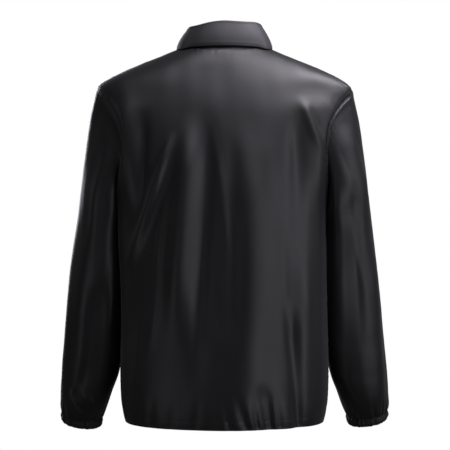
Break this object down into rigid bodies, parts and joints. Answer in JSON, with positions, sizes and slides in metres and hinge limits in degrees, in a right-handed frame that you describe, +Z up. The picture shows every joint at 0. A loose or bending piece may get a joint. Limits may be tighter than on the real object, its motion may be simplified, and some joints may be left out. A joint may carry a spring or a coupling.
{
  "type": "windbreaker jacket",
  "caption": "Black nylon windbreaker in its worn hollow form: panelled body with snap front, turn-down collar, set-in sleeves, gathered elastic cuffs and an elastic hem casing",
  "frame": {"origin": "the middle of the neck opening, level with the two points where the shoulder seams meet the collar", "axes": "+Z up, the front faces -Y, and +X is the wearer's left"},
  "size_m": [0.635, 0.2974, 0.7718],
  "materials": {
    "shell_nylon": "smooth woven nylon with a slight sheen",
    "elastic_band": "the same nylon, gathered over elastic",
    "snap_cap": "satin black cap"
  },
  "bodies": {
    "root": {"back": "shell_nylon", "front_left": "shell_nylon", "front_right": "shell_nylon", "sleeve_left": "shell_nylon", "sleeve_right": "shell_nylon", "collar": "shell_nylon", "hem_back": "shell_nylon", "hem_front_left": "shell_nylon", "hem_front_right": "shell_nylon", "cuff_left": "elastic_band", "cuff_right": "elastic_band", "snap_1": "snap_cap", "snap_2": "snap_cap", "snap_3": "snap_cap", "snap_4": "snap_cap", "snap_5": "snap_cap", "snap_6": "snap_cap"}
  },
  "joints": []
}
